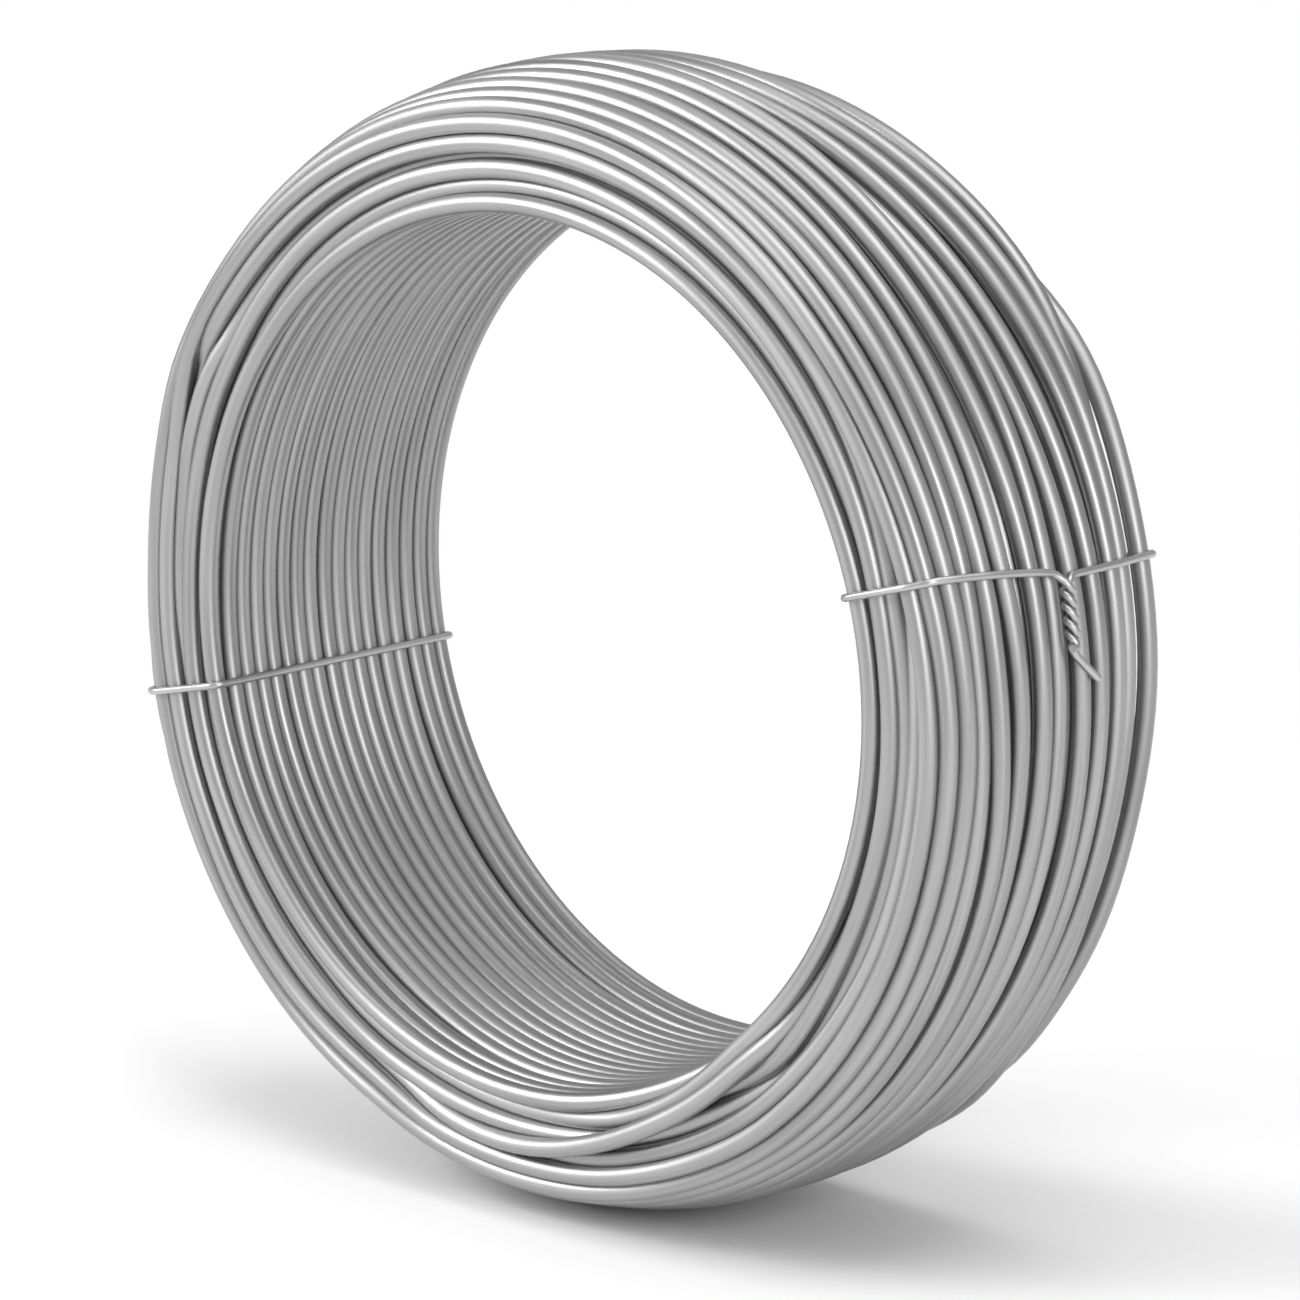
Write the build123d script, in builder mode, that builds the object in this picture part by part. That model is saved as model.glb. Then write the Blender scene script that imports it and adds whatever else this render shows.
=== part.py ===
from build123d import *
from math import cos, radians, sin
import os

os.makedirs("parts", exist_ok=True)

# A coil of galvanized steel wire that stands on its rim, bound with two thin tie wires.
# The origin is the middle of the bore, +Y runs along the bore and +Z points up.

# The coil, in millimetres
wire_dia = 3.0  # the wire that is wound
coil_dia = 180.0  # over the outermost turns
bore_dia = 136.0  # inside the innermost turns
coil_width = 53.0  # over the turns at the two ends
tread_width = 18.0  # the level middle of the outside, which the coil stands on
shoulder_drop = 5.5  # how far the outside has fallen where it meets an end
tread_blend = 30.0  # radius that rounds the tread into the shoulders
rim_radius = 5.0  # radius that rounds the shoulders into the ends
turn_slack = 0.8  # between neighbouring turns of the ends and the outside, which lie loose

# The tie wires, in millimetres and degrees
tie_dia = 1.2
tie_sides = 6  # of its section, which stands for a round one
tie_gap = 0.3  # between a tie and the turns that it binds
tie_angles = {"tie_right": 13.5, "tie_left": 192.2}  # round the bore, from +X towards +Z

# The twist that closes a tie, which lies along the outside of the coil
twist_offset = -2.3  # along the bore, from the middle of the coil
twist_pitch = 4.2  # a strand's advance in one full turn
twist_turns = 2.25  # the quarter leaves one strand on top, where its cut end can lean aside
twist_steps = 12  # straight runs that a strand's twist is bent from
long_end = 8.0  # straight wire left beyond the twist on the upper strand
short_end = 1.0  # and on the lower strand

coil_radius = coil_dia / 2
bore_radius = bore_dia / 2
wire_radius = wire_dia / 2
half_width = coil_width / 2
tie_radius = tie_dia / 2
shoulder_radius = coil_radius - shoulder_drop
turn_pitch = wire_dia + turn_slack
valley_depth = wire_radius  # two round turns meet this far below their crests
rim_limit = shoulder_radius - bore_radius - wire_radius  # what a narrow end leaves for its fillet

# The winding's section is drawn flat, with X along the bore and Y out from its axis.
# These corners and their radii bound it, so that the crest of every surface turn lies on them.
section_corners = [
    (-half_width, bore_radius),
    (-half_width, shoulder_radius),
    (-tread_width / 2, coil_radius),
    (tread_width / 2, coil_radius),
    (half_width, shoulder_radius),
    (half_width, bore_radius),
]
rim_fillet = min(rim_radius, rim_limit)
outer_radii = [rim_fillet, tread_blend, tread_blend, rim_fillet]
corner_radii = [wire_radius, *outer_radii, wire_radius]

# The line that the turns of the two ends and the outside are laid along
with BuildLine() as crest_line:
    FilletPolyline(*section_corners, radius=outer_radii)
crests = crest_line.wire()
turn_count = round(crests.length / turn_pitch)

# A crest for each of those turns, with a valley between each two
turn_outline = [(wire_radius - half_width, bore_radius)]
for turn in range(turn_count):
    turn_outline.append(crests @ ((turn + 0.5) / turn_count))
    if turn < turn_count - 1:
        meeting = (turn + 1) / turn_count
        inward = (crests % meeting).rotate(Axis.Z, -90)
        turn_outline.append(crests @ meeting + inward * valley_depth)
turn_outline.append((half_width - wire_radius, bore_radius))

# The coil: the section turned about the bore's axis
with BuildPart() as wire_coil:
    with BuildSketch(Plane.YZ):
        with BuildLine():
            Polyline(*turn_outline, close=True)
        make_face()
    revolve(axis=Axis.Y)

wire_coil.part.label = "wire_coil"
export_step(wire_coil.part, "parts/wire_coil.step")

# The loop that a tie's centre follows round the section, from the same corners
with BuildSketch() as tie_loop:
    with BuildLine():
        FilletPolyline(*section_corners, radius=corner_radii, close=True)
    make_face()
    offset(amount=tie_gap + tie_radius)

twist_length = twist_pitch * twist_turns
twist_axis = Axis((twist_offset, coil_radius + tie_gap + tie_dia, 0), (0, 0, 1))

# A tie in the same flat frame: one wire round the winding, its two ends twisted together outside.
# The twist runs along Z, and its two strands start side by side on the loop.
with BuildPart() as tie:
    with BuildLine() as loop:
        add(tie_loop.wire())
    with BuildSketch(Plane(origin=loop.wire() @ 0, z_dir=loop.wire() % 0)):
        RegularPolygon(tie_radius, tie_sides)
    sweep(path=loop.wire())
    for start, cut_end in ((0, short_end), (180, long_end)):
        upright = Edge.make_helix(twist_pitch, twist_length, tie_radius, lefthand=True)
        helix = upright.moved(Location(twist_axis.position)).rotate(twist_axis, start)
        with BuildLine() as strand:
            bends = Polyline(*[helix @ (step / twist_steps) for step in range(twist_steps + 1)])
            Line(bends @ 1, bends @ 1 + (helix % 1) * cut_end)
        with BuildSketch(Plane(origin=bends @ 0, z_dir=bends % 0)):
            RegularPolygon(tie_radius, tie_sides)
        sweep(path=strand.wire(), transition=Transition.RIGHT)

# Each tie stands in the plane through the bore's axis at its own angle, with its twist pointing down
# on the right of the coil and up on the left.
for name, angle in tie_angles.items():
    turned = radians(angle)
    place = Plane(origin=(0, 0, 0), x_dir=(0, 1, 0), z_dir=(sin(turned), 0, -cos(turned)))
    placed = tie.part.moved(place.location)
    placed.label = name
    export_step(placed, f"parts/{name}.step")

print("turns round the section", turn_count)
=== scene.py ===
"""A coil of galvanized steel wire that stands on its rim, bound with two twisted tie wires.

The winding is one wire, laid row upon row and settled against itself. The origin is the middle of
the bore, +Y runs along the bore and +Z points up. Lengths are in metres; angles round the bore are
measured from +X towards +Z, in degrees.
"""
from math import ceil, cos, degrees, pi, radians, sin, tau

import bpy
import numpy as np
from mathutils import Matrix, Vector


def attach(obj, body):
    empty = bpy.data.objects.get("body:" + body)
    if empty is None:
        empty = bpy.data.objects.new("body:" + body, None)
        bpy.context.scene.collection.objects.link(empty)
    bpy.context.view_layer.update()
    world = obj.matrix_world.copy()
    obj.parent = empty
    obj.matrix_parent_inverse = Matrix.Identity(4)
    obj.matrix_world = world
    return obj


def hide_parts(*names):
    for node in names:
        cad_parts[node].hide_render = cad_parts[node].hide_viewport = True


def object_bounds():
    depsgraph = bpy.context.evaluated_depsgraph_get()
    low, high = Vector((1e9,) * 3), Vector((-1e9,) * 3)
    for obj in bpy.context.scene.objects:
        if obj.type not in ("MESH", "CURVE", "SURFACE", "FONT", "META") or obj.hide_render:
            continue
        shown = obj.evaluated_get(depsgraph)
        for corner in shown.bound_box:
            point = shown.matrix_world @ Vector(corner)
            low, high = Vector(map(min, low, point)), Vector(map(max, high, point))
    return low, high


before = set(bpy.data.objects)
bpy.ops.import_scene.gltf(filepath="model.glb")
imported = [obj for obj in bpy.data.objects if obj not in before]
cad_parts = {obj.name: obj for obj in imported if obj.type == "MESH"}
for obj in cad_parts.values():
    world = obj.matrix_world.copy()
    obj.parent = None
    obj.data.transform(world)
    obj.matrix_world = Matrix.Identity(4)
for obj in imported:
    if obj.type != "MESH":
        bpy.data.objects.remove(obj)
CAD_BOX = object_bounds()

bl_info = {
    "name": "Galvanized Wire Coil",
    "version": (1, 0, 0),
    "blender": (4, 5, 0),
    "location": "View3D > Sidebar > Wire Coil",
    "description": "Winds a coil of galvanized wire turn by turn and binds it with tie wires",
    "category": "Add Mesh",
}

MM = 0.001
COIL_RADIUS = CAD_BOX[1][2]

# How the wire is wound: rows from the bore outwards, laid to and fro between the two ends
STATIONS = 144  # points of each turn
SEAM_ANGLE = -105.0  # where one turn is counted from the next
ROW_TURNS = (17, 16, 16, 16, 16, 13, 9)
ROW_PITCH = (3.12, 3.12, 3.12, 3.14, 3.16, 3.3, 3.6)  # mm between the turns of a row
ROW_SHIFT = (0, 0, -1.56, 0, 0, 0, -1.2)  # mm that a row's middle lies off the coil's
# The next three have the last row at their end. A turn steps over to the place of the next one at
# its row's crossover, and the step takes the reach in degrees before and after it.
ROW_CROSSOVER = (300, 288, 288, 288, 240, 240, 190, 164)
ROW_REACH = (30, 30, 30, 30, 30, 30, 68, 30)
ROW_WANDER = (0.04, 0.08, 0.1, 0.12, 0.16, 0.25, 0.35, 0.12)  # mm that a turn strays from its line
WANDER_KEYS = 6  # places in each turn where it can change its way
STRAY_ANGLE = -72.0  # where the strayed turn crosses the rows that it lies over
STRAY_PROUD = 2.9  # mm that it stands out there
STRAY_REACH = 20.0  # degrees over which it comes back in
START_ANGLE = -62.0  # where the wire's inner end lies
START_TUCK = 1.2  # mm that this end lies farther back and farther from the axis
START_REACH = 30.0  # degrees in which the tuck is gone
END_ANGLE = 205.0  # where the wire's outer end lies

# The last row lies where the eye sees it, so each of its turns has a line of its own. At each of
# these angles, a turn has its mm across and its mm sunk below the row's outline.
LAST_ROW_AT = (-60, -30, 0, 20, 40, 60, 80, 100)
LAST_ROW = (
    ((-25.2, -25.1, -25.0, -25.0, -25.1, -25.1, -25.1, -25.1),
     (1.0, 0.8, 0.5, 0.5, 1.7, 4.0, 4.0, 4.0)),
    ((-23.4, -23.4, -23.2, -23.2, -24.2, -25.0, -25.0, -25.0),
     (0, 0, 0, 0, 0.1, 1.0, 1.0, 1.0)),
    ((-20.0, -20.5, -21.2, -21.2, -22.0, -23.6, -23.8, -24.0),
     (0.3, 0.3, 0, 0, 0, 0, 0, 0)),
    ((-16.2, -17.0, -18.8, -18.8, -19.5, -21.0, -21.3, -21.0),
     (0.6, 0.7, 0.8, 0.8, 0.8, 0.6, 0.4, 0.4)),
    ((-12.5, -13.3, -15.0, -15.3, -16.3, -17.3, -17.5, -17.0),
     (0, 0, 0, 0, 0, 0, 0, 0)),
    ((-10.0, -10.8, -11.0, -12.0, -13.0, -14.2, -13.6, -13.0),
     (0.8, 1.0, 1.2, 1.2, 1.0, 0.8, 0.6, 0.5)),
    ((-6.8, -7.3, -6.6, -7.2, -9.0, -10.0, -9.0, -8.5),
     (0, 0, 0, 0, 0, 0, 0, 0)),
    ((-3.6, -4.0, -2.8, -3.0, -4.6, -5.3, -4.5, -4.0),
     (1.0, 1.2, 1.3, 1.3, 1.0, 0.4, 0, 0)),
    ((0.5, 1.0, 2.2, 1.6, -0.4, -2.8, -3.0, -3.0),
     (0, 0, 0, 0, 0.6, 2.8, 3.0, 3.0)),
    ((4.0, 4.5, 6.5, 6.5, 4.4, 1.0, -1.0, 0.0),
     (0, 0, 0, 0, 0, 0, 0, 0)),
    ((8.0, 8.5, 11.5, 12.7, 10.3, 7.0, 3.0, 4.0),
     (0, 0, 0, 0, 0, 0, 0, 0)),
    ((13.5, 14.5, 15.5, 17.0, 15.8, 12.8, 9.5, 9.0),
     (2.0, 2.0, 2.0, 1.6, 0, 0, 0, 0)),
    ((18.0, 18.5, 18.4, 19.4, 21.0, 21.8, 21.7, 20.5),
     (2.8, 2.8, 2.8, 3.0, 0.6, 0, 0, 0)),
    ((22.5, 22.5, 21.0, 20.0, 24.0, 25.5, 25.5, 24.0),
     (-0.2, -0.2, -0.2, -0.2, -0.2, -0.2, -0.2, -0.2)),
)
# The outline that the last row follows: mm across from the middle, and mm from the bore's axis
CROWN = ((0, 90), (9, 89.5), (18, 87.7), (24, 85), (26.8, 81.1))
# Where the finished coil is out of round: mm across, mm out and degrees, how far each reaches, and
# the shift in mm across and out
DENTS = (
    ((25, 85, 36), (8, 12, 13), (0, 2.0)),
    ((22, 86, -14), (8, 12, 14), (0, -1.2)),
    ((20, 87, -48), (8, 12, 8), (0, 1.1)),
    ((-22, 85, 178), (12, 12, 11), (0, -0.9)),
    ((-22, 85, 152), (12, 12, 9), (0, 0.7)),
    ((-25, 69.5, -8), (8, 8, 55), (0.9, 0.9)),
)

# How the laid turns are pressed together, in rounds
SETTLE_ROUNDS = 420
DRAWN_SHARE = 0.75  # of the rounds, in which the turns are still drawn to their lines
NEIGHBOUR_REACH = 3.2  # turn distances; turns that are laid farther apart never meet
HOLD_LOOSE, HOLD_FAST = 0.03, 0.10  # share of the way to its line that a turn goes in a round
INWARD_PULL = 0.02  # mm in the first round, and less in each later one
STIFFNESS = 0.3  # share of its bend that the wire loses in a round
CROWN_SLACK = 0.2  # mm that a turn may stand out from the crown
BORE_LIFT = 0.2  # share of its lift that a turn of the bore's row keeps in a round

# The twist that closes a tie
TWIST_ACROSS = -2.3  # mm along the bore, from the middle of the coil
TWIST_SPREAD = 0.62  # from the twist's middle to each strand's, in strand diameters
TWIST_START = 0.9  # mm round the coil from the tie's loop to the twist
# From the end of the twist, points of its two cut ends: mm across, mm out and mm on round the coil
LONG_END = ((1.2, -0.1, 1.6), (3.4, 0.0, 3.6), (5.4, 0.4, 5.6))
SHORT_END = ((-0.7, 0.0, 0.5), (-1.6, 0.2, 0.7))
TIE_LEAN = 2.0  # degrees that the right tie rises towards the front end
TIE_LEAN_OVER = 22.0  # mm across in which it does so

# The lamps: place in metres, size in metres, and watts
LAMPS = (
    ("front_softbox", (-1.0, -1.0, 0.75), (0.9, 0.9), 20),
    ("side_strip", (1.2, -0.55, 0.45), (0.3, 0.6), 7),
    ("overhead_softbox", (0.3, 0.0, 1.3), (1.0, 1.0), 9),
)
FLOOR_HALF = 4.0  # metres from its middle to an edge
FLOOR_FADE = (0.2, 0.6)  # metres from the coil's middle, between which the floor turns white

# The picture: pixels of its side and of the lens, and where the middle of the bore falls in it
IMAGE_SIDE, FOCAL = 1300, 6833.9
IMAGE_CENTRE = (633.3, 630.8)
SENSOR = 36  # mm


def linear(hex_colour):
    """The linear RGB of an sRGB hex colour."""
    parts = [int(hex_colour[i:i + 2], 16) / 255 for i in (1, 3, 5)]
    return tuple(p / 12.92 if p <= 0.04045 else ((p + 0.055) / 1.055) ** 2.4 for p in parts)


class WindingSettings(bpy.types.PropertyGroup):
    """The wire of the coil and how it is wound"""

    wire_diameter: bpy.props.FloatProperty(
        name="Wire diameter",
        description="Of the wire that is wound",
        default=3.1 * MM,
        min=0.5 * MM,
        precision=5,
        unit="LENGTH",
    )
    turn_distance: bpy.props.FloatProperty(
        name="Turn distance",
        description="Between turns that touch, a little under the diameter so that no slit shows",
        default=3.0 * MM,
        min=0.5 * MM,
        precision=5,
        unit="LENGTH",
    )
    bore_row_radius: bpy.props.FloatProperty(
        name="Bore row radius",
        description="From the bore's axis to the middle of the innermost row's wire",
        default=69.5 * MM,
        precision=5,
        unit="LENGTH",
    )
    row_step: bpy.props.FloatProperty(
        name="Row step",
        description="From the middle of one row's wire to the next row's",
        default=2.65 * MM,
        precision=5,
        unit="LENGTH",
    )
    half_width: bpy.props.FloatProperty(
        name="Half width",
        description="From the middle of the coil to the outside of the turns at its ends",
        default=26.6 * MM,
        precision=5,
        unit="LENGTH",
    )
    wire_sides: bpy.props.IntProperty(
        name="Wire sides", description="Faces round the wire's section", default=12, min=6, max=24
    )
    seed: bpy.props.IntProperty(
        name="Seed", description="Of the small uneven wander of the turns", default=4, min=0
    )
    zinc: bpy.props.FloatVectorProperty(
        name="Zinc",
        description="Colour of the galvanized wire",
        default=linear("#ABABAB"),
        size=3,
        min=0,
        max=1,
        subtype="COLOR",
    )


class TieSettings(bpy.types.PropertyGroup):
    """The two thin wires that bind the coil"""

    tie_diameter: bpy.props.FloatProperty(
        name="Tie diameter",
        description="Of the tie wires",
        default=1.2 * MM,
        precision=5,
        unit="LENGTH",
    )
    twist_pitch: bpy.props.FloatProperty(
        name="Twist pitch",
        description="A strand's advance in one full turn of the twist",
        default=4.2 * MM,
        precision=5,
        unit="LENGTH",
    )
    twist_turns: bpy.props.FloatProperty(
        name="Twist turns", description="Full turns of the twist", default=2.25, min=0.5
    )
    right_angle: bpy.props.FloatProperty(
        name="Right tie",
        description="Where the right tie stands round the bore",
        default=radians(13.5),
        subtype="ANGLE",
        unit="ROTATION",
    )
    left_angle: bpy.props.FloatProperty(
        name="Left tie",
        description="Where the left tie stands round the bore",
        default=radians(192.2),
        subtype="ANGLE",
        unit="ROTATION",
    )
    tie_zinc: bpy.props.FloatVectorProperty(
        name="Tie zinc",
        description="Colour of the tie wires",
        default=linear("#BCBCBC"),
        size=3,
        min=0,
        max=1,
        subtype="COLOR",
    )


class StageSettings(bpy.types.PropertyGroup):
    """The floor, the lamps and the camera"""

    floor_colour: bpy.props.FloatVectorProperty(
        name="Floor",
        description="Colour of the floor",
        default=linear("#F2F2F2"),
        size=3,
        min=0,
        max=1,
        subtype="COLOR",
    )
    room_light: bpy.props.FloatProperty(
        name="Room light", description="Strength of the even light all round", default=0.5, min=0
    )
    azimuth: bpy.props.FloatProperty(
        name="Azimuth",
        description="Where the camera stands round the coil",
        default=radians(43.10),
        subtype="ANGLE",
        unit="ROTATION",
    )
    elevation: bpy.props.FloatProperty(
        name="Elevation",
        description="How far the camera looks down",
        default=radians(11.91),
        subtype="ANGLE",
        unit="ROTATION",
    )
    distance: bpy.props.FloatProperty(
        name="Distance",
        description="From the camera to the middle of the bore",
        default=1.0626,
        unit="LENGTH",
    )


def eased(x):
    """From 0 to 1 with a soft start and end."""
    x = np.clip(x, 0, 1)
    return x * x * (3 - 2 * x)


def angle_between(a, b):
    """Degrees from b to a, from -180 to 180."""
    return (a - b + 180) % 360 - 180


def bump(x, reach):
    """1 at the middle and nearly nothing two reaches away."""
    return np.exp(-((x / reach) ** 2))


def crown(across):
    """How far out the outline of the last row is, in mm."""
    return np.interp(np.abs(across), *zip(*CROWN))


def wander(rng, turns):
    """A smooth random drift along the whole wire."""
    at = np.arange(turns * STATIONS) * WANDER_KEYS / STATIONS
    keys = rng.normal(size=turns * WANDER_KEYS + 2)
    left = at.astype(int)
    part = eased(at - left)
    return (keys[left] * (1 - part) + keys[left + 1] * part).reshape(turns, STATIONS)


def lay_turns(settings):
    """The wire as it is laid: each turn's row, the stations' angles and, for each turn and station,
    mm across, mm from the axis and the mm that it may stand out from the front end."""
    first = settings.bore_row_radius / MM
    step = settings.row_step / MM
    wire = settings.turn_distance / MM
    places = []
    for row, (count, pitch, shift) in enumerate(zip(ROW_TURNS, ROW_PITCH, ROW_SHIFT)):
        line = (np.arange(count) - (count - 1) / 2) * pitch + shift
        places += [(row, place) for place in (line if row % 2 else line[::-1])]
    # From the bore's row the wire goes to the front of the second row, strays over the third to the
    # front of the fourth, and comes back to the third's, before it fills the second.
    strayed = [min(place for place in places if place[0] == row) for row in (1, 3, 2)]
    bore = ROW_TURNS[0]
    places = places[:bore] + strayed + [place for place in places[bore:] if place not in strayed]

    angles = SEAM_ANGLE - np.arange(STATIONS) * 360 / STATIONS
    rows = [row for row, _ in places] + [len(ROW_TURNS)] * len(LAST_ROW)
    across = [np.full(STATIONS, place) for _, place in places]
    out = [np.full(STATIONS, first + step * row) for row, _ in places]
    for line, sunk in LAST_ROW:
        drawn = np.interp(angles, LAST_ROW_AT, line, period=360)
        across.append(drawn)
        out.append(crown(drawn) - wire / 2 - np.interp(angles, LAST_ROW_AT, sunk, period=360))
    rows, across, out = np.array(rows), np.array(across), np.array(out)

    reach = np.array(ROW_REACH)[rows][:, None]
    # The whole step is kept clear of the seam
    middle = (SEAM_ANGLE - np.array(ROW_CROSSOVER)[rows][:, None]) % 360
    middle = np.clip(middle, reach + 2, 358 - reach)
    run = np.arange(STATIONS) * 360 / STATIONS
    crossed = eased((run - middle + reach) / (2 * reach))
    Y = across + (np.vstack([across[1:], across[-1:]]) - across) * crossed
    R = out + (np.vstack([out[1:], out[-1:]]) - out) * crossed
    rng = np.random.default_rng(settings.seed)
    Y += wander(rng, len(rows)) * np.array(ROW_WANDER)[rows][:, None]

    # Where the strayed turn crosses, right after the bore's row, it stands out from the front end
    room = np.zeros(Y.size)
    passing = slice(bore * STATIONS, (bore + 2) * STATIONS)
    angle = SEAM_ANGLE - np.arange(2 * STATIONS) * 360 / STATIONS
    room[passing] = STRAY_PROUD * bump(angle - STRAY_ANGLE + 360, STRAY_REACH)
    room = room.reshape(Y.shape)
    return rows, angles, Y - room, R, room


def settle(settings, rows, angles, Y, R, room):
    """Presses the turns together, round by round, until they lie against each other. Where one
    steps over, it may be left up to half a millimetre too near another."""
    wire = settings.turn_distance / MM
    first = settings.bore_row_radius / MM
    edge = settings.half_width / MM - wire / 2
    a, b = np.triu_indices(len(rows), 1)
    near = np.hypot(Y[a] - Y[b], R[a] - R[b]).min(1) < NEIGHBOUR_REACH * wire
    a, b = a[near], b[near]
    by_b = np.argsort(b, kind="stable")
    turns_a, starts_a = np.unique(a, return_index=True)
    turns_b, starts_b = np.unique(b[by_b], return_index=True)
    Y, R, room = Y.astype(np.float32), R.astype(np.float32), room.astype(np.float32)
    Y_laid, R_laid = Y.copy(), R.copy()
    last = (rows == rows.max())[:, None]
    hold_across = np.where(last, HOLD_FAST, HOLD_LOOSE)
    hold_out = np.where(last, HOLD_FAST, 0.0)
    pull = np.where(rows > 0, INWARD_PULL, 0.0)[:, None]
    # The last turn of the bore's row climbs from it, so it isn't kept on the bore's wall
    bottom = np.flatnonzero(rows == 0)
    climbing, bottom = bottom[-1], bottom[:-1]
    hold_out[climbing] = HOLD_FAST
    # No turn reaches below the floor that the coil stands on
    floor = COIL_RADIUS / MM - wire / 2
    rise = np.sin(np.radians(angles))
    ground = np.where(rise < -0.5, floor / -rise, np.inf)
    for step in range(SETTLE_ROUNDS):
        done = step / SETTLE_ROUNDS
        if done < DRAWN_SHARE:
            Y += hold_across * (Y_laid - Y)
            R += hold_out * (R_laid - R)
            R -= pull * (1 - done)
        for lay in (Y, R):
            wire_line = lay.reshape(-1)
            middle = 0.5 * (wire_line[:-2] + wire_line[2:])
            wire_line[1:-1] += STIFFNESS * (middle - wire_line[1:-1])
        dy, dr = Y[a] - Y[b], R[a] - R[b]
        apart = np.sqrt(dy * dy + dr * dr) + 1e-6
        push = 0.5 * np.clip(wire - apart, 0, None) / apart
        for lay, shove in ((Y, push * dy), (R, push * dr)):
            lay[turns_a] += np.add.reduceat(shove, starts_a, axis=0)
            lay[turns_b] -= np.add.reduceat(shove[by_b], starts_b, axis=0)
        outline = crown(Y) - wire / 2 + CROWN_SLACK
        np.clip(R, first, np.minimum(ground, outline), out=R)
        R[bottom] = first + (R[bottom] - first) * BORE_LIFT
        np.clip(Y, -edge - room, edge, out=Y)
    return Y, R


def wound_wire(settings):
    """The finished winding: the stations' angles and, for each turn and station, mm across and mm
    from the axis."""
    rows, angles, Y, R, room = lay_turns(settings)
    Y, R = settle(settings, rows, angles, Y, R, room)
    Y_round, R_round = Y.copy(), R.copy()
    for (across, out, angle), (wide, deep, round_about), (aside, outwards) in DENTS:
        share = bump(Y_round - across, wide) * bump(R_round - out, deep)
        share *= bump(angle_between(angles, angle), round_about)
        Y += aside * share
        R += outwards * share
    return angles, Y, R


def add_node(tree, kind, inputs=None, **settings):
    """One node. inputs gives a socket's value, or the output that it is linked from."""
    node = tree.nodes.new(kind)
    for name, value in settings.items():
        setattr(node, name, value)
    for key, value in (inputs or {}).items():
        if isinstance(value, bpy.types.NodeSocket):
            tree.links.new(value, node.inputs[key])
        else:
            node.inputs[key].default_value = value
    return node


def new_material(name):
    """A material with a Principled shader, and its node tree and shader."""
    material = bpy.data.materials.new(name)
    material.use_nodes = True
    tree = material.node_tree
    tree.nodes.clear()
    shader = add_node(tree, "ShaderNodeBsdfPrincipled")
    add_node(tree, "ShaderNodeOutputMaterial", {"Surface": shader.outputs[0]})
    return material, tree, shader


def zinc_finish(name, colour, streak_length, roughness):
    """Zinc on steel wire, hot dipped and wiped smooth. It gives a soft metal sheen, with long faint
    streaks along the wire and clouds, duller or brighter, where the coating froze unevenly."""
    material, tree, shader = new_material(name)
    lay = add_node(tree, "ShaderNodeAttribute", attribute_name="lay").outputs["Vector"]
    streak_size = 0.7 * MM  # across the wire
    stretched = add_node(
        tree,
        "ShaderNodeVectorMath",
        {0: lay, 1: (1 / streak_length, 1 / streak_size, 1 / streak_size)},
        operation="MULTIPLY",
    )
    streaks = add_node(
        tree, "ShaderNodeTexNoise", {"Vector": stretched.outputs[0], "Scale": 1.0, "Detail": 3.0}
    )
    cloud_size = 9 * MM  # across the wire, and six times as long
    cloud_place = add_node(
        tree,
        "ShaderNodeVectorMath",
        {0: lay, 1: (1 / (6 * cloud_size), 1 / cloud_size, 1 / cloud_size)},
        operation="MULTIPLY",
    )
    clouds = add_node(
        tree, "ShaderNodeTexNoise", {"Vector": cloud_place.outputs[0], "Scale": 1.0, "Detail": 2.0}
    )
    both = add_node(
        tree,
        "ShaderNodeMath",
        {0: streaks.outputs["Fac"], 1: clouds.outputs["Fac"]},
        operation="ADD",
    )
    contrast = 0.26
    dark = tuple(c * (1 - contrast) for c in colour)
    light = tuple(min(1.0, c * (1 + contrast)) for c in colour)
    tone = add_node(
        tree,
        "ShaderNodeMapRange",
        {"Value": both.outputs[0], "From Min": 0.6, "From Max": 1.4},
    )
    ramp = add_node(tree, "ShaderNodeValToRGB", {"Fac": tone.outputs[0]})
    ramp.color_ramp.elements[0].color = (*dark, 1)
    ramp.color_ramp.elements[1].color = (*light, 1)
    tree.links.new(ramp.outputs["Color"], shader.inputs["Base Color"])
    gloss = add_node(
        tree,
        "ShaderNodeMapRange",
        {
            "Value": clouds.outputs["Fac"],
            "From Min": 0.3,
            "From Max": 0.7,
            "To Min": roughness - 0.06,
            "To Max": roughness + 0.08,
        },
    )
    tree.links.new(gloss.outputs[0], shader.inputs["Roughness"])
    relief = add_node(
        tree,
        "ShaderNodeBump",
        {"Height": streaks.outputs["Fac"], "Strength": 0.5, "Distance": 0.02 * MM},
    )
    tree.links.new(relief.outputs[0], shader.inputs["Normal"])
    shader.inputs["Metallic"].default_value = 1.0
    return material


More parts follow.
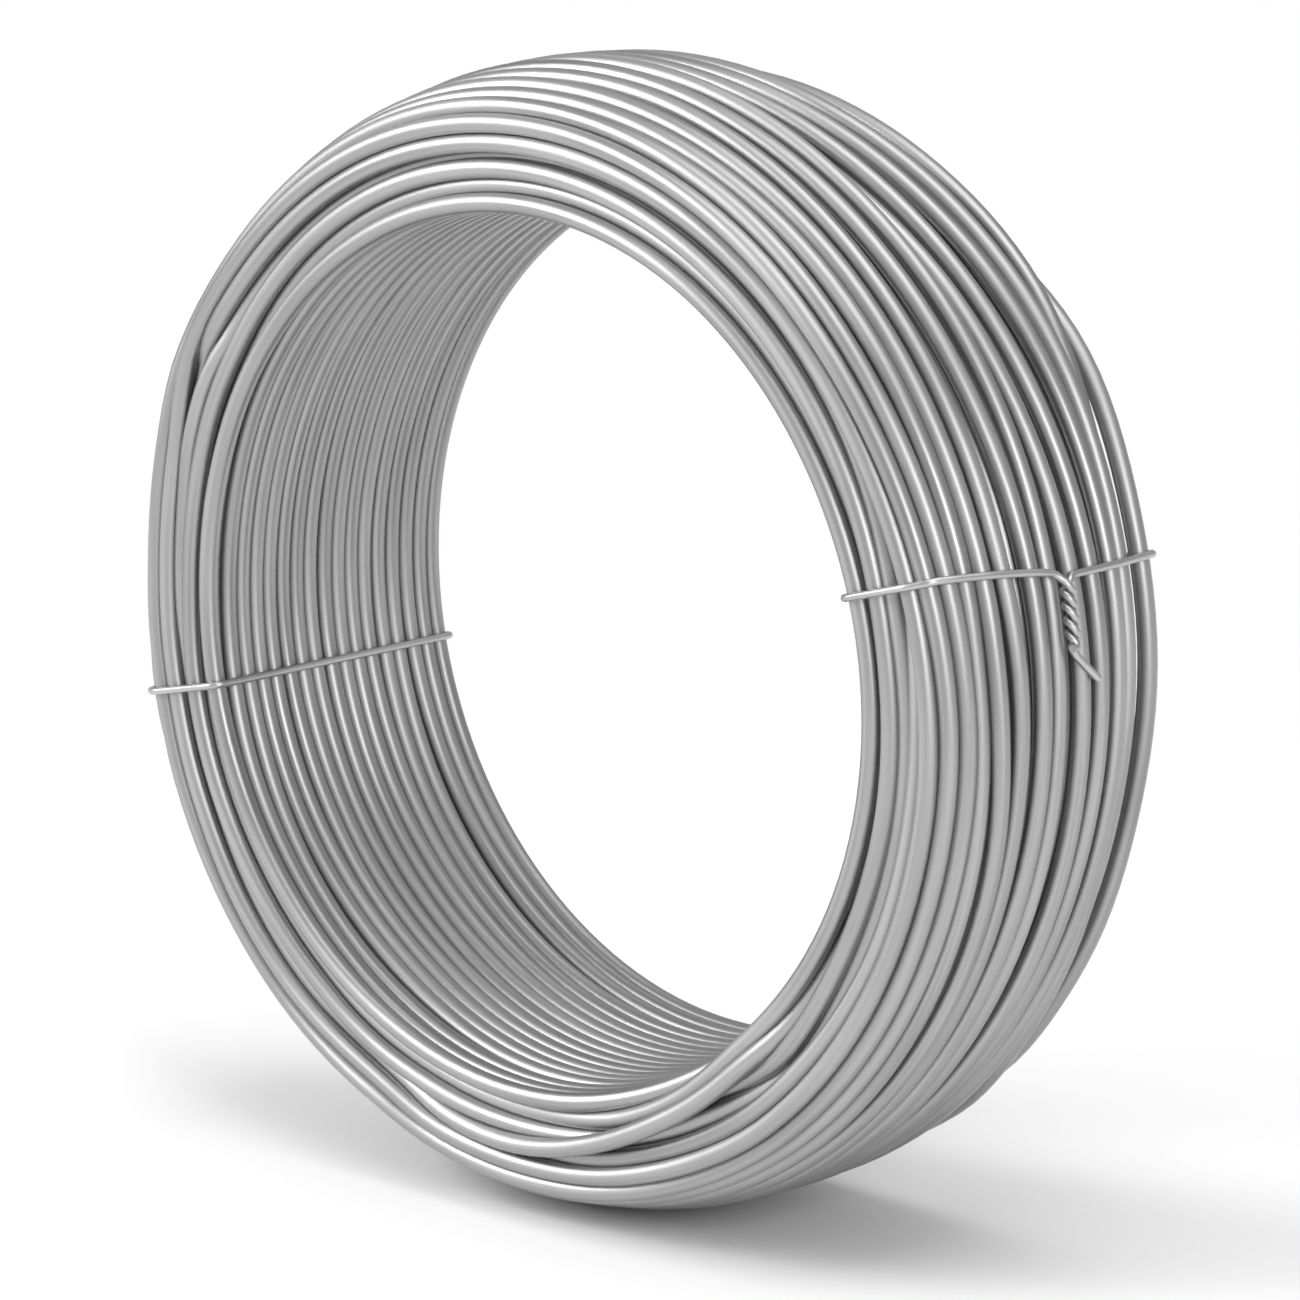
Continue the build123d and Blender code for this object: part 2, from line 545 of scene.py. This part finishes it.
def wire_tree():
    """Geometry Nodes that turn a line of edges into round wire with closed ends."""
    tree = bpy.data.node_groups.new("round_wire_along_a_line", "GeometryNodeTree")
    sockets = tree.interface
    sockets.new_socket("Line", in_out="INPUT", socket_type="NodeSocketGeometry")
    for name, kind in (("Diameter", "Float"), ("Sides", "Int"), ("Finish", "Material")):
        sockets.new_socket(name, in_out="INPUT", socket_type="NodeSocket" + kind)
    sockets.new_socket("Wire", in_out="OUTPUT", socket_type="NodeSocketGeometry")
    given = add_node(tree, "NodeGroupInput").outputs
    line = add_node(tree, "GeometryNodeMeshToCurve", {"Mesh": given["Line"]})
    radius = add_node(tree, "ShaderNodeMath", {0: given["Diameter"], 1: 0.5}, operation="MULTIPLY")
    section = add_node(
        tree,
        "GeometryNodeCurvePrimitiveCircle",
        {"Resolution": given["Sides"], "Radius": radius.outputs[0]},
    )
    place = add_node(tree, "GeometryNodeSplineParameter")
    marked = add_node(
        tree,
        "GeometryNodeStoreNamedAttribute",
        {
            "Geometry": section.outputs[0],
            "Name": "around",
            "Value": place.outputs["Factor"],
        },
        data_type="FLOAT",
        domain="POINT",
    )
    wire = add_node(
        tree,
        "GeometryNodeCurveToMesh",
        {"Curve": line.outputs[0], "Profile Curve": marked.outputs[0], "Fill Caps": True},
    )
    smooth = add_node(tree, "GeometryNodeSetShadeSmooth", {0: wire.outputs[0]})
    real = add_node(tree, "GeometryNodeRealizeInstances", {0: smooth.outputs[0]})
    finished = add_node(
        tree, "GeometryNodeSetMaterial", {"Geometry": real.outputs[0], "Material": given["Finish"]}
    )
    add_node(tree, "NodeGroupOutput", {0: finished.outputs[0]})
    return tree


def set_input(modifier, name, value):
    """Sets a modifier's input by its socket's identifier."""
    for item in modifier.node_group.interface.items_tree:
        if item.item_type == "SOCKET" and item.in_out == "INPUT" and item.name == name:
            modifier[item.identifier] = value


def read(mesh, name, count):
    """A point attribute as an array."""
    values = np.zeros(count, np.float32)
    mesh.attributes[name].data.foreach_get("value", values)
    return values


def lay_out_maps(mesh, radius, strip_length):
    """Gives the wire the flat map that its finish is baked on, one strip for each length of it, and
    the lay of its surface: metres along the wire, and across it in two ways."""
    count = len(mesh.vertices)
    along, around = read(mesh, "along", count), read(mesh, "around", count)
    lay = np.stack([along, radius * np.cos(tau * around), radius * np.sin(tau * around)], 1)
    mesh.attributes.new("lay", "FLOAT_VECTOR", "POINT").data.foreach_set("vector", lay.ravel())

    corners = np.zeros(len(mesh.loops), np.int32)
    mesh.loops.foreach_get("vertex_index", corners)
    starts = np.zeros(len(mesh.polygons), np.int32)
    sizes = np.zeros(len(mesh.polygons), np.int32)
    mesh.polygons.foreach_get("loop_start", starts)
    mesh.polygons.foreach_get("loop_total", sizes)
    side_corners = starts[sizes == 4][:, None] + np.arange(4)
    u = (along[corners[side_corners]] - along.min()) / strip_length
    v = around[corners[side_corners]]
    strip = np.floor(u.min(1, keepdims=True) + 1e-4)
    v = np.where((v.max(1, keepdims=True) - v) > 0.5, v + 1, v)
    strips = ceil((along.max() - along.min()) / strip_length - 1e-3)
    edge, ends = 0.005, 0.98  # where a strip begins and ends along the map
    margin = 0.06  # of a strip's width, left free on both sides
    cap_at, cap_radius = 0.99, 0.006  # the two closed ends lie beyond the strips
    flat = np.zeros((len(mesh.loops), 2), np.float32)
    flat[side_corners, 0] = edge + (u - strip) * (ends - edge)
    flat[side_corners, 1] = (strip + margin + v * (1 - 2 * margin)) / strips
    for number, (start, size) in enumerate(zip(starts[sizes > 4], sizes[sizes > 4])):
        turn = np.arange(size) * tau / size
        flat[start:start + size, 0] = cap_at + cap_radius * np.cos(turn)
        flat[start:start + size, 1] = 0.25 + 0.5 * (number % 2) + cap_radius * np.sin(turn)
    mesh.uv_layers.new(name="OFBake").data.foreach_set("uv", flat.ravel())
    for name in ("along", "around"):
        mesh.attributes.remove(mesh.attributes[name])


def make_wire(name, points, diameter, sides, material, strip_length):
    """A round wire along the points, as one plain mesh."""
    points = np.asarray(points, np.float64)
    steps = np.linalg.norm(np.diff(points, axis=0), axis=1)
    along = np.concatenate([[0], np.cumsum(steps)])
    line = bpy.data.meshes.new(name)
    line.from_pydata(points.tolist(), [(i, i + 1) for i in range(len(points) - 1)], [])
    line.attributes.new("along", "FLOAT", "POINT").data.foreach_set("value", along)
    piece = bpy.data.objects.new(name, line)
    bpy.context.scene.collection.objects.link(piece)
    modifier = piece.modifiers.new("wire", "NODES")
    modifier.node_group = bpy.data.node_groups.get("round_wire_along_a_line") or wire_tree()
    set_input(modifier, "Diameter", diameter)
    set_input(modifier, "Sides", sides)
    set_input(modifier, "Finish", material)
    graph = bpy.context.evaluated_depsgraph_get()
    mesh = bpy.data.meshes.new_from_object(
        piece.evaluated_get(graph), preserve_all_data_layers=True, depsgraph=graph
    )
    piece.modifiers.remove(modifier)
    piece.data = mesh
    bpy.data.meshes.remove(line)
    mesh.name = name
    mesh.set_sharp_from_angle(angle=radians(60))
    lay_out_maps(mesh, diameter / 2, strip_length)
    return piece


def on_coil(across, out, angle):
    """The point that lies so far across, so far out from the axis and at that angle, in metres."""
    across, out, angle = np.broadcast_arrays(across, out, np.radians(angle))
    return np.stack([out * np.cos(angle), across, out * np.sin(angle)], -1) * MM


# Each piece of the winding, and the number of turns that are laid when it ends
WINDING_PIECES = {"bore_turns": 17, "inner_turns": 50, "middle_turns": 81, "outer_turns": 117}
winding = {}


class WIRECOIL_OT_wind(bpy.types.Operator):
    """Wind the coil of galvanized wire, row upon row"""

    bl_idname = "wirecoil.wind"
    bl_label = "Wind the Coil"

    def execute(self, context):
        settings = context.scene.wire_winding
        angles, Y, R = wound_wire(settings)
        winding.update(Y=Y, R=R)
        line = on_coil(Y, R, angles[None]).reshape(-1, 3)
        finish = zinc_finish(
            "hot_dip_galvanized_wire", settings.zinc, streak_length=40 * MM, roughness=0.45
        )
        begin = 0
        for name, end in WINDING_PIECES.items():
            stretch = line[begin * STATIONS:end * STATIONS + 1]
            if begin == 0:
                angle = np.arange(START_ANGLE, SEAM_ANGLE + 1, -360 / STATIONS)
                tucked = START_TUCK * (1 - eased((START_ANGLE - angle) / START_REACH))
                stretch = np.vstack([on_coil(Y[0, 0] + tucked, R[0, 0] + tucked, angle), stretch])
            if end == len(Y):
                cut = round((SEAM_ANGLE - END_ANGLE) % 360 / 360 * STATIONS)
                stretch = line[begin * STATIONS:(end - 1) * STATIONS + cut]
            strip = tau * R[begin:end].mean() * MM
            begin = end
            piece = make_wire(
                name, stretch, settings.wire_diameter, settings.wire_sides, finish, strip
            )
            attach(piece, "root")
            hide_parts("wire_coil")
        return {"FINISHED"}


def hull(points):
    """The outline of a tight loop round the points, anticlockwise."""
    points = sorted(set(map(tuple, np.round(points, 4))))

    def chain(ordered):
        kept = []
        for point in ordered:
            while len(kept) > 1:
                (ax, ay), (bx, by) = kept[-2], kept[-1]
                if (bx - ax) * (point[1] - ay) - (by - ay) * (point[0] - ax) > 0:
                    break
                kept.pop()
            kept.append(point)
        return kept[:-1]

    return np.array(chain(points) + chain(points[::-1]))


def resampled(points, spacing):
    """The same line with even spacing."""
    steps = np.linalg.norm(np.diff(points, axis=0), axis=1)
    along = np.concatenate([[0], np.cumsum(steps)])
    wanted = np.linspace(0, along[-1], max(2, round(along[-1] / spacing) + 1))
    return np.stack([np.interp(wanted, along, points[:, k]) for k in range(points.shape[1])], 1)


def softened(points, times):
    """The same line with its corners rounded, its two ends kept."""
    points = points.copy()
    for _ in range(times):
        points[1:-1] += 0.5 * (0.5 * (points[:-2] + points[2:]) - points[1:-1])
    return points


def tie_line(settings, wire, angle, down):
    """A tie's wire from one cut end to the other: a twisted strand, once round the winding, and
    back down the other strand."""
    thin = settings.tie_diameter / MM
    thick = wire / MM
    pitch = settings.twist_pitch / MM
    length = pitch * settings.twist_turns
    way = 1 if down else -1

    # The loop, tight round all turns, is opened where the twist closes it on the outside
    station = round((SEAM_ANGLE - angle) % 360 / 360 * STATIONS) % STATIONS
    across, out = winding["Y"][:-1], winding["R"][:-1]
    centres = np.stack([across[:, station], out[:, station]], 1)
    turn = np.arange(24) * tau / 24
    ring = (thick + thin) / 2 * np.stack([np.cos(turn), np.sin(turn)], 1)
    loop = hull((centres[:, None] + ring[None]).reshape(-1, 2))
    loop = resampled(np.vstack([loop, loop[:1]]), spacing=0.4)[:-1]
    on_outside = loop[:, 1] > out[:, station].mean()
    off_twist = np.where(on_outside, np.abs(loop[:, 0] - TWIST_ACROSS), np.inf)
    loop = np.roll(loop, -np.argmin(off_twist), axis=0)
    crest = loop[0, 1]
    opening = 4  # points left out on both sides of the twist
    loop = loop[opening:-opening]
    if loop[0, 0] > TWIST_ACROSS:
        loop = loop[::-1]

    # The twist lies on the highest of the turns beneath it
    beneath = (station + way * np.arange(0, 6)) % STATIONS
    aside = across[:, beneath] - TWIST_ACROSS
    reach = thick / 2 + (TWIST_SPREAD + 0.5) * thin
    lift = np.sqrt(np.clip(reach**2 - aside**2, 0, None))
    top = np.where(np.abs(aside) < reach, out[:, beneath] + lift, 0)
    axis = max(crest + 0.5 * thin, top.max())
    run = np.linspace(0, length, 48)

    def strand(phase):
        turned = phase - way * tau * run / pitch
        side = TWIST_ACROSS + thin * TWIST_SPREAD * np.cos(turned)
        height = axis + thin * TWIST_SPREAD * np.sin(turned)
        return np.stack([side, height, -way * (run + TWIST_START)], 1)

    # Columns of these lines are mm across, mm out and mm round the coil
    front, rear = strand(pi), strand(0)
    flat = np.column_stack([loop, np.zeros(len(loop))])
    onwards = (1, 1, -way)
    long_end = rear[-1] + np.array(LONG_END) * onwards
    short_end = front[-1] + np.array(SHORT_END) * onwards
    path = np.vstack([long_end[::-1], rear[::-1], flat[::-1], front, short_end])
    path = softened(resampled(path, spacing=0.3), times=4)
    if down:
        frontwards = np.clip((TWIST_ACROSS - path[:, 0]) / TIE_LEAN_OVER, 0, 1)
        angle = angle + TIE_LEAN * frontwards**0.6
    return on_coil(path[:, 0], path[:, 1], angle + np.degrees(path[:, 2] / crest))


class WIRECOIL_OT_bind(bpy.types.Operator):
    """Bind the coil with its two tie wires"""

    bl_idname = "wirecoil.bind"
    bl_label = "Bind the Coil"

    def execute(self, context):
        if not winding:
            raise RuntimeError("the coil is wound before it is bound")
        settings = context.scene.wire_ties
        wire = context.scene.wire_winding.wire_diameter
        finish = zinc_finish(
            "galvanized_tie_wire", settings.tie_zinc, streak_length=15 * MM, roughness=0.4
        )
        ties = {"tie_right": (settings.right_angle, True), "tie_left": (settings.left_angle, False)}
        for node, (angle, down) in ties.items():
            line = tie_line(settings, wire, degrees(angle), down)
            piece = make_wire(
                node + "_wire",
                line,
                settings.tie_diameter,
                sides=10,
                material=finish,
                strip_length=20 * MM,
            )
            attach(piece, "root")
            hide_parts(node)
        return {"FINISHED"}


def floor_finish(colour):
    """A matt pale floor that keeps the coil's shadow. Away from the coil it fades to the white of a
    studio backdrop, for the eye and for what the metal mirrors."""
    material, tree, shader = new_material("matt_pale_floor")
    shader.inputs["Base Color"].default_value = (*colour, 1)
    shader.inputs["Roughness"].default_value = 0.9
    shader.inputs["Specular IOR Level"].default_value = 0.1
    rays = add_node(tree, "ShaderNodeLightPath").outputs
    seen = rays["Is Camera Ray"]
    for other in ("Is Glossy Ray", "Is Transmission Ray"):
        either = add_node(tree, "ShaderNodeMath", {0: seen, 1: rays[other]}, operation="MAXIMUM")
        seen = either.outputs[0]
    place = add_node(tree, "ShaderNodeTexCoord").outputs["Object"]
    away = add_node(tree, "ShaderNodeVectorMath", {0: place}, operation="LENGTH").outputs["Value"]
    near, white_from = FLOOR_FADE
    far = add_node(
        tree,
        "ShaderNodeMapRange",
        {"Value": away, "From Min": near, "From Max": white_from},
        interpolation_type="SMOOTHSTEP",
    )
    share = add_node(tree, "ShaderNodeMath", {0: seen, 1: far.outputs[0]}, operation="MULTIPLY")
    white = add_node(tree, "ShaderNodeEmission", {"Color": (1, 1, 1, 1), "Strength": 1.0})
    mixed = add_node(
        tree,
        "ShaderNodeMixShader",
        {0: share.outputs[0], 1: shader.outputs[0], 2: white.outputs[0]},
    )
    output = next(node for node in tree.nodes if node.type == "OUTPUT_MATERIAL")
    tree.links.new(mixed.outputs[0], output.inputs["Surface"])
    return material


def add_lamp(name, place, size, watts):
    """A soft lamp that faces the coil."""
    data = bpy.data.lights.new(name, "AREA")
    data.shape = "RECTANGLE"
    data.size, data.size_y = size
    data.energy = watts
    lamp = bpy.data.objects.new(name, data)
    lamp.location = place
    lamp.rotation_euler = Vector(place).to_track_quat("Z", "Y").to_euler()
    bpy.context.scene.collection.objects.link(lamp)


class WIRECOIL_OT_stage(bpy.types.Operator):
    """Set up the floor, the lamps and the camera"""

    bl_idname = "wirecoil.stage"
    bl_label = "Set the Stage"

    def execute(self, context):
        scene = context.scene
        settings = scene.wire_stage
        scene.view_settings.view_transform = "Standard"

        low = CAD_BOX[0][2]
        mesh = bpy.data.meshes.new("floor")
        sides = ((-1, -1), (1, -1), (1, 1), (-1, 1))
        corners = [(FLOOR_HALF * x, FLOOR_HALF * y, low) for x, y in sides]
        mesh.from_pydata(corners, [], [(0, 1, 2, 3)])
        floor = bpy.data.objects.new("floor", mesh)
        scene.collection.objects.link(floor)
        mesh.materials.append(floor_finish(settings.floor_colour))

        world = bpy.data.worlds.new("studio")
        world.use_nodes = True
        tree = world.node_tree
        tree.nodes.clear()
        light = add_node(
            tree,
            "ShaderNodeBackground",
            {"Color": (1, 1, 1, 1), "Strength": settings.room_light},
        )
        add_node(tree, "ShaderNodeOutputWorld", {"Surface": light.outputs[0]})
        scene.world = world
        for name, place, size, watts in LAMPS:
            add_lamp(name, place, size, watts)

        azimuth, elevation = settings.azimuth, settings.elevation
        level = cos(elevation)
        back = Vector((sin(azimuth) * level, -cos(azimuth) * level, sin(elevation)))
        right = Vector((cos(azimuth), sin(azimuth), 0))
        up = back.cross(right)
        data = bpy.data.cameras.new("camera")
        camera = bpy.data.objects.new("camera", data)
        camera.matrix_world = Matrix.Translation(back * settings.distance) @ Matrix(
            (right, up, back)
        ).transposed().to_4x4()
        data.sensor_width = SENSOR
        data.lens = SENSOR * FOCAL / IMAGE_SIDE
        data.shift_x = (IMAGE_SIDE / 2 - IMAGE_CENTRE[0]) / IMAGE_SIDE
        data.shift_y = (IMAGE_CENTRE[1] - IMAGE_SIDE / 2) / IMAGE_SIDE
        data.clip_start = 0.01
        scene.collection.objects.link(camera)
        scene.camera = camera
        return {"FINISHED"}


class WIRECOIL_PT_panel(bpy.types.Panel):
    """The wire coil's operators and settings"""

    bl_label = "Wire Coil"
    bl_idname = "WIRECOIL_PT_panel"
    bl_space_type = "VIEW_3D"
    bl_region_type = "UI"
    bl_category = "Wire Coil"

    def draw(self, context):
        for group, operator in STEPS:
            box = self.layout.box()
            box.operator(operator)
            settings = getattr(context.scene, group)
            for name in settings.__annotations__:
                box.prop(settings, name)


# Each step's settings and its operator, in the order that they are run
STEPS = (
    ("wire_stage", "wirecoil.stage"),
    ("wire_winding", "wirecoil.wind"),
    ("wire_ties", "wirecoil.bind"),
)
SETTINGS = {
    "wire_stage": StageSettings,
    "wire_winding": WindingSettings,
    "wire_ties": TieSettings,
}
CLASSES = (
    *SETTINGS.values(),
    WIRECOIL_OT_stage,
    WIRECOIL_OT_wind,
    WIRECOIL_OT_bind,
    WIRECOIL_PT_panel,
)


def register():
    for each in CLASSES:
        bpy.utils.register_class(each)
    for name, group in SETTINGS.items():
        setattr(bpy.types.Scene, name, bpy.props.PointerProperty(type=group))


def unregister():
    for name in SETTINGS:
        delattr(bpy.types.Scene, name)
    for each in reversed(CLASSES):
        bpy.utils.unregister_class(each)


def main():
    register()
    bpy.ops.wirecoil.stage()
    bpy.ops.wirecoil.wind()
    bpy.ops.wirecoil.bind()


if __name__ == "__main__":
    main()
